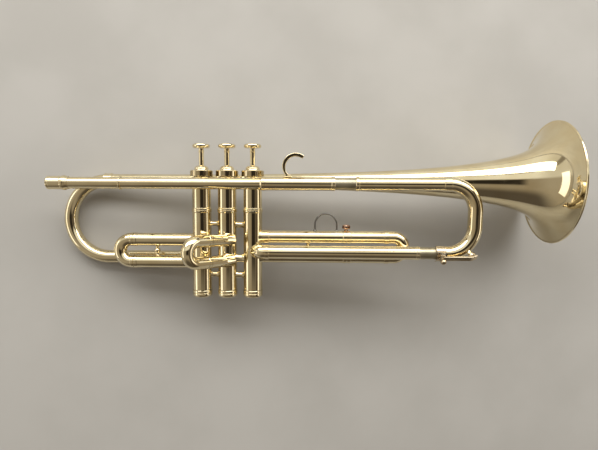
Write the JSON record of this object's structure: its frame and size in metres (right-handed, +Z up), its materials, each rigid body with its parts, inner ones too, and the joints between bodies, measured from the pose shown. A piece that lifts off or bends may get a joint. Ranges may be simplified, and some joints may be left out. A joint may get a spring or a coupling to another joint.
{
  "type": "trumpet",
  "caption": "Lacquered brass trumpet lying on its left side: piston valves, tuning slides, a flared bell, a water key, a finger loop and a finger hook",
  "frame": {"origin": "middle of the footprint, on the surface that the trumpet lies on", "axes": "+X towards the bell along the bore, +Y towards the finger buttons, +Z up from the surface, which is the player's right-hand side"},
  "size_m": [0.501, 0.178, 0.122],
  "materials": {
    "lacquered_brass": "polished under clear lacquer",
    "drawn_brass": "bare drawn tube, satin",
    "nickel_silver": "nickel silver, semi polished",
    "spring_steel": "dark spring wire",
    "cork": "natural cork",
    "pearl": "pearl inlay on the finger buttons"
  },
  "bodies": {
    "trumpet_body": {"valve_casing_1": "lacquered_brass", "top_cap_1": "lacquered_brass", "bottom_cap_1": "lacquered_brass", "valve_spring_1": "spring_steel", "valve_casing_2": "lacquered_brass", "top_cap_2": "lacquered_brass", "bottom_cap_2": "lacquered_brass", "valve_spring_2": "spring_steel", "valve_casing_3": "lacquered_brass", "top_cap_3": "lacquered_brass", "bottom_cap_3": "lacquered_brass", "valve_spring_3": "spring_steel", "upper_bridge_12": "lacquered_brass", "lower_bridge_12": "lacquered_brass", "upper_bridge_23": "lacquered_brass", "air_bridge_23": "lacquered_brass", "lower_bridge_23": "lacquered_brass", "mouthpiece_receiver": "lacquered_brass", "leadpipe": "lacquered_brass", "leadpipe_ring": "lacquered_brass", "upper_outer_slide": "lacquered_brass", "lower_outer_slide": "lacquered_brass", "lower_slide_elbow": "lacquered_brass", "bell_flare": "lacquered_brass", "bell_rim": "lacquered_brass", "bell_stem": "lacquered_brass", "bell_bow_ferrule": "lacquered_brass", "bell_bow": "lacquered_brass", "bell_tail_elbow": "lacquered_brass", "rear_brace": "lacquered_brass", "front_brace": "lacquered_brass", "first_slide_upper_tube": "lacquered_brass", "first_slide_lower_tube": "lacquered_brass", "first_slide_strut": "lacquered_brass", "third_slide_upper_tube": "lacquered_brass", "third_slide_lower_tube": "lacquered_brass", "second_slide_upper_tube": "lacquered_brass", "second_slide_lower_tube": "lacquered_brass", "lyre_screw": "lacquered_brass", "pinky_hook": "lacquered_brass", "finger_ring": "spring_steel"},
    "valve_1": {"piston_1": "nickel_silver", "valve_stem_1": "lacquered_brass", "finger_button_1": "lacquered_brass"},
    "valve_2": {"piston_2": "nickel_silver", "valve_stem_2": "lacquered_brass", "finger_button_2": "lacquered_brass"},
    "valve_3": {"piston_3": "nickel_silver", "valve_stem_3": "lacquered_brass", "finger_button_3": "lacquered_brass"},
    "tuning_slide": {"tuning_slide_upper_leg": "drawn_brass", "tuning_slide_lower_leg": "drawn_brass", "tuning_slide_sleeve": "lacquered_brass", "tuning_slide_bow": "lacquered_brass", "water_key_saddle": "nickel_silver"},
    "water_key": {"water_key_lever": "nickel_silver", "water_key_cork": "cork"},
    "first_slide": {"first_slide_bow": "lacquered_brass"},
    "second_slide": {"second_slide_bow": "lacquered_brass"},
    "third_slide": {"third_slide_bow": "lacquered_brass"}
  },
  "joints": [
    {"name": "valve_1_press", "type": "slide", "parent": "trumpet_body", "child": "valve_1", "axis": [0.0082, -0.9968, -0.0791], "range_m": [0, 0.0162], "stiffness_N_per_m": 70, "springref_m": -0.013, "deforming": ["valve_spring_1"]},
    {"name": "valve_2_press", "type": "slide", "parent": "trumpet_body", "child": "valve_2", "axis": [0.0082, -0.9968, -0.0791], "range_m": [0, 0.0162], "stiffness_N_per_m": 70, "springref_m": -0.013, "deforming": ["valve_spring_2"]},
    {"name": "valve_3_press", "type": "slide", "parent": "trumpet_body", "child": "valve_3", "axis": [0.0082, -0.9968, -0.0791], "range_m": [0, 0.0162], "stiffness_N_per_m": 70, "springref_m": -0.013, "deforming": ["valve_spring_3"]},
    {"name": "tuning_slide_pull", "type": "slide", "parent": "trumpet_body", "child": "tuning_slide", "axis": [0.9947, 0, 0.1031], "range_m": [-0.0158, 0.032]},
    {"name": "water_key_open", "type": "hinge", "parent": "tuning_slide", "child": "water_key", "pos_m": [0.12208, -0.04656, 0.08337], "axis": [0.0737, -0.7143, -0.696], "range_deg": [0, 15], "stiffness_Nm_per_rad": 0.04, "springref_deg": -28.65},
    {"name": "first_slide_pull", "type": "slide", "parent": "trumpet_body", "child": "first_slide", "axis": [-0.9947, 0, -0.1031], "range_m": [0, 0.02]},
    {"name": "second_slide_pull", "type": "slide", "parent": "trumpet_body", "child": "second_slide", "axis": [-0.7177, -0.0156, 0.6962], "range_m": [0, 0.012]},
    {"name": "third_slide_pull", "type": "slide", "parent": "trumpet_body", "child": "third_slide", "axis": [0.9947, 0, 0.1031], "range_m": [0, 0.025]}
  ]
}
